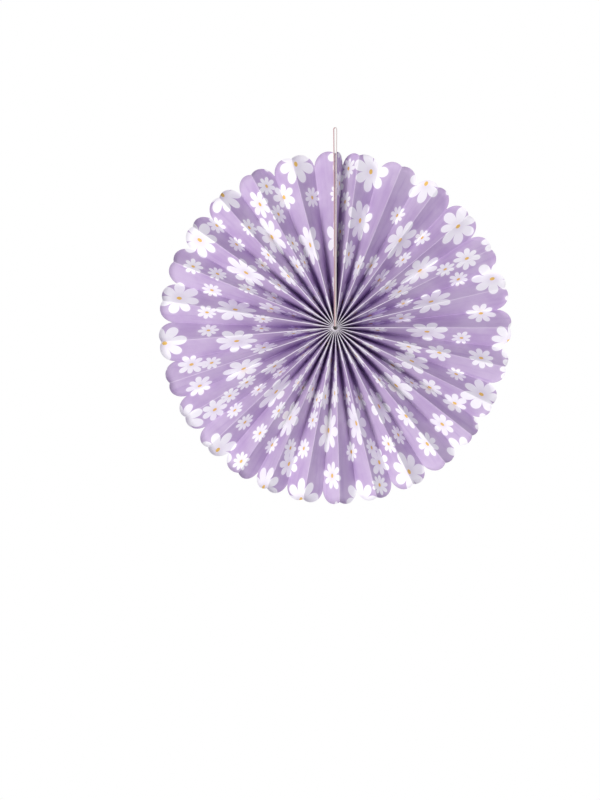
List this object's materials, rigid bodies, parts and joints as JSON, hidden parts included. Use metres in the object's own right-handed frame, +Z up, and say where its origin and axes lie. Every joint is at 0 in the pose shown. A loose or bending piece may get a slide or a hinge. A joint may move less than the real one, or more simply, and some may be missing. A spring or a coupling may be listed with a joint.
{
  "type": "paper fan rosette",
  "caption": "Flat round fan of accordion-pleated printed paper with a scalloped rim, its inner ends drawn together at a hub and a cord loop over the seam to hang it by.",
  "frame": {"origin": "middle of the hub: on the fan's axis, halfway between the front and back folds", "axes": "+Z up from the hub along the seam and the hanging cord; the printed side faces -Y and the wall side +Y; +X to the right when the printed side is seen"},
  "size_m": [0.3991, 0.0352, 0.4267],
  "materials": {
    "printed_paper": "matte, printed with pale flowers on a purple field",
    "gathering_thread": "fine white thread",
    "paper_tape": "matte, plain",
    "twisted_cord": "soft twisted cotton, off-white"
  },
  "bodies": {
    "root": {"pleated_fan": "printed_paper", "hub_thread": "gathering_thread", "seam_tape": "paper_tape", "hanging_cord": "twisted_cord", "cord_knot": "twisted_cord"}
  },
  "joints": []
}
